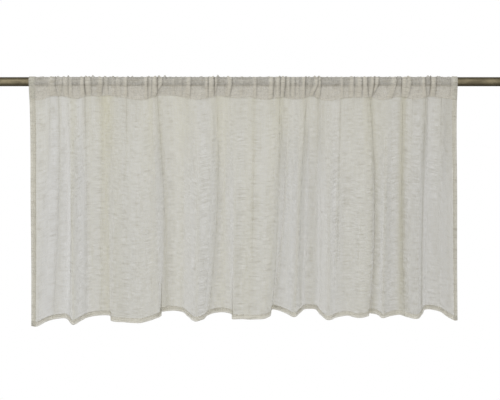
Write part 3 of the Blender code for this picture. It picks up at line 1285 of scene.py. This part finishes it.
@dataclass
class Stitching:
    """The rows of stitches that close the pocket and hold the hems."""

    shape: HangingCloth
    finish: ThreadFinish = ThreadFinish()
    stitch: float = 3.0 * MM
    pitch: float = 3.9 * MM
    thread: float = 0.22 * MM
    lower_line: float = 11 * MM
    side_line: float = 11.2 * MM
    stand_off: float = 0.12 * MM
    hem_depth: float = 1.3 * MM
    pieces: list = field(default_factory=list)

    def build(self) -> None:
        """Sew the four rows, each on both faces of the cloth."""
        shape = self.shape
        even = np.arange(2 * MM, shape.width - 2 * MM, self.pitch)
        lower = 1 - self.lower_line / shape.drop
        down = np.arange(0.006, shape.drop - 2 * MM, self.pitch) / shape.drop
        for face in Face:
            self.sew(f"pocket_seam_{face.name.lower()}", even, None, 0.0015, face)
            self.sew(f"lower_hem_{face.name.lower()}", even, None, lower, face)
            self.sew(f"left_hem_{face.name.lower()}", None, down, self.side_line, face)
            self.sew(
                f"right_hem_{face.name.lower()}",
                None,
                down,
                shape.width - self.side_line,
                face,
            )

    def sew(
        self,
        name: str,
        across: np.ndarray | None,
        down: np.ndarray | None,
        line: float,
        face: Face,
    ) -> None:
        """Sew one row of stitches.

        Args:
            name: the piece's name.
            across: where each stitch starts along the width, for a level row.
            down: where each starts as a share of the drop, for an upright row.
            line: the share of the drop, or the place along the width, of the row.
            face: the face of the cloth it shows on.
        """
        shape = self.shape
        small = 0.4 * MM
        if across is not None:
            ends = [shape.body(across + n * self.stitch, line) for n in (0.0, 0.5, 1.0)]
            beside = shape.body(across, line + small / shape.drop)
            away = np.cross(ends[2] - ends[0], beside - ends[0])
        else:
            place = np.array([line])
            step = self.stitch / shape.drop
            ends = [
                np.concatenate([shape.body(place, s + n * step) for s in down])
                for n in (0.0, 0.5, 1.0)
            ]
            beside = np.concatenate([shape.body(place + small, s) for s in down])
            away = -np.cross(ends[2] - ends[0], beside - ends[0])
        away /= np.linalg.norm(away, axis=1, keepdims=True)
        if away[:, 1].mean() < 0:
            away = -away
        lift = self.stand_off if face is Face.ROOM else self.hem_depth + self.stand_off
        side = face.value * away
        path = [
            ends[0] + side * (lift - 0.25 * MM),
            ends[0] * 0.75 + ends[2] * 0.25 + side * lift,
            ends[0] * 0.25 + ends[2] * 0.75 + side * lift,
            ends[2] + side * (lift - 0.25 * MM),
        ]
        self.tubes(name, path, side)

    def tubes(self, name: str, path: list, side: np.ndarray) -> None:
        """Make one small thread along each stitch.

        Args:
            name: the piece's name.
            path: four arrays of points, from one end of the stitches to the other.
            side: the direction that each stitch faces.
        """
        run = path[3] - path[0]
        run /= np.linalg.norm(run, axis=1, keepdims=True)
        flat = np.cross(run, side)
        rings = []
        for index, points in enumerate(path):
            thick = self.thread * (0.55 if index in (0, 3) else 1.0)
            for corner in range(5):
                angle = math.tau * corner / 5
                rings.append(
                    points + thick * (math.cos(angle) * side + math.sin(angle) * flat)
                )
        count, around = len(path[0]), 5
        corners = np.array(rings).transpose(1, 0, 2).reshape(-1, 3)
        faces = []
        for item in range(count):
            first = item * 4 * around
            for ring in range(3):
                for corner in range(around):
                    a = first + ring * around + corner
                    b = first + ring * around + (corner + 1) % around
                    faces.append((a, b, b + around, a + around))
            faces.append(tuple(first + n for n in range(around))[::-1])
            faces.append(tuple(first + 3 * around + n for n in range(around)))
        mesh = bpy.data.meshes.new(name)
        mesh.from_pydata(corners.tolist(), [], faces)
        mesh.shade_smooth()
        piece = bpy.data.objects.new(name, mesh)
        bpy.context.scene.collection.objects.link(piece)
        self.pieces.append(piece)

    def dress(self) -> None:
        """Give the thread its finish."""
        material = self.finish.material()
        for piece in self.pieces:
            piece.data.materials.append(material)
            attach(piece, BODY)


@dataclass
class Rod:
    """The rod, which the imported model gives, in its real finish."""

    finish: AgedBrassFinish = AgedBrassFinish()

    def dress(self) -> None:
        """Put the finish on the rod's own slots."""
        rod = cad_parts["rod"]
        material = self.finish.material()
        rod.data.materials.clear()
        rod.data.materials.append(material)
        for face in rod.data.polygons:
            face.material_index = 0


class Softbox(NamedTuple):
    """One large soft light: its place, its width and its power."""

    name: str
    place: tuple
    size: float
    power: float
    colour: tuple


@dataclass
class Studio:
    """White room: pale floor, a pale wall of light in front and a soft key from the left."""

    floor_height: float = -1.25
    floor_size: float = 16.0
    around: float = 0.88
    gloss_behind: float = 0.09
    gloss_before: float = 1.35
    towards: tuple = (-0.22, -0.90, 0.38)
    aim: tuple = (0.645, 0.0, -0.3)
    boxes: tuple = (
        Softbox("key", (-0.55, -2.3, 1.6), 1.2, 16.0, (0.97, 0.99, 1.0)),
    )

    def build(self) -> None:
        """Make the floor, the light of the room and the softboxes."""
        self.build_floor()
        self.build_room_light()
        for box in self.boxes:
            self.build_softbox(box)

    def build_floor(self) -> None:
        """Pale plain floor, which throws no light back."""
        shader = Shader("pale floor")
        glow = shader.node("ShaderNodeEmission", None, {"Strength": 1.0})[0]
        mesh = bpy.data.meshes.new("floor")
        shape = bmesh.new()
        bmesh.ops.create_grid(shape, x_segments=1, y_segments=1, size=self.floor_size / 2)
        shape.to_mesh(mesh)
        shape.free()
        mesh.materials.append(shader.finish(glow))
        floor = bpy.data.objects.new("floor", mesh)
        floor.location = (self.aim[0], 0.0, self.floor_height)
        floor.visible_diffuse = False
        floor.visible_glossy = False
        bpy.context.scene.collection.objects.link(floor)

    def build_room_light(self) -> None:
        """A white backdrop, with the light of one wide pale wall in front of the curtain."""
        world = bpy.data.worlds.new("white room")
        world.use_nodes = True
        shader = Shader("white room", world.node_tree)
        towards = tuple(Vector(self.towards).normalized())
        way = shader.node("ShaderNodeTexCoord")["Generated"]
        settings = {"operation": "DOT_PRODUCT"}
        facing = Wire(
            shader, shader.node("ShaderNodeVectorMath", settings, {0: way, 1: towards})["Value"]
        )
        gloss = facing.step(0.35, 0.95) * (self.gloss_before - self.gloss_behind)
        path = shader.node("ShaderNodeLightPath")
        seen, mirrored = Wire(shader, path["Is Camera Ray"]), Wire(shader, path["Is Glossy Ray"])
        strength = self.around + mirrored * (gloss + (self.gloss_behind - self.around))
        strength = strength + seen * (1.0 - self.around)
        back = shader.node("ShaderNodeBackground", None, {"Color": (1, 1, 1, 1), 1: strength})
        shader.node("ShaderNodeOutputWorld", None, {"Surface": back[0]})
        bpy.context.scene.world = world

    def build_softbox(self, box: Softbox) -> None:
        """Hang one softbox, turned towards the curtain.

        Args:
            box: its place, size, power and colour.
        """
        data = bpy.data.lights.new(box.name, "AREA")
        data.energy = box.power
        data.size = box.size
        data.color = box.colour
        light = bpy.data.objects.new(box.name, data)
        light.location = box.place
        light.visible_camera = False
        aim = Vector(self.aim) - Vector(box.place)
        light.rotation_euler = aim.to_track_quat("-Z", "Y").to_euler()
        bpy.context.scene.collection.objects.link(light)


@dataclass
class PhotoCamera:
    """A long lens looking a little down at the curtain."""

    aim: tuple = (0.6613, 0.0, -0.2946)
    distance: float = 4.6
    pitch: float = math.radians(15)
    lens: float = 135.4

    def build(self) -> None:
        """Place the camera."""
        data = bpy.data.cameras.new("camera")
        data.lens = self.lens
        data.sensor_width = 36.0
        camera = bpy.data.objects.new("camera", data)
        back = Vector((0, -math.cos(self.pitch), math.sin(self.pitch)))
        camera.location = Vector(self.aim) + back * self.distance
        camera.rotation_euler = Euler((math.pi / 2 - self.pitch, 0.0, 0.0))
        bpy.context.scene.collection.objects.link(camera)
        bpy.context.scene.camera = camera


def main() -> None:
    """Build and dress each part of the curtain."""
    logging.basicConfig(level=logging.INFO, format="%(name)s: %(message)s")
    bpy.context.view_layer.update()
    bpy.context.scene.view_settings.view_transform = "Standard"
    PhotoCamera().build()
    Studio().build()
    log.info("camera, floor and light are set")

    shape = HangingCloth()
    cloth = CurtainCloth(shape)
    cloth.build()
    log.info("cloth: %.3f by %.3f m flat", *cloth.flat)

    stitching = Stitching(shape)
    stitching.build()
    stitching.dress()
    log.info("stitching: %d rows", len(stitching.pieces))
    cloth.dress(stitching.pieces)

    Rod().dress()
    log.info("rod: finished")


if __name__ == "__main__":
    main()
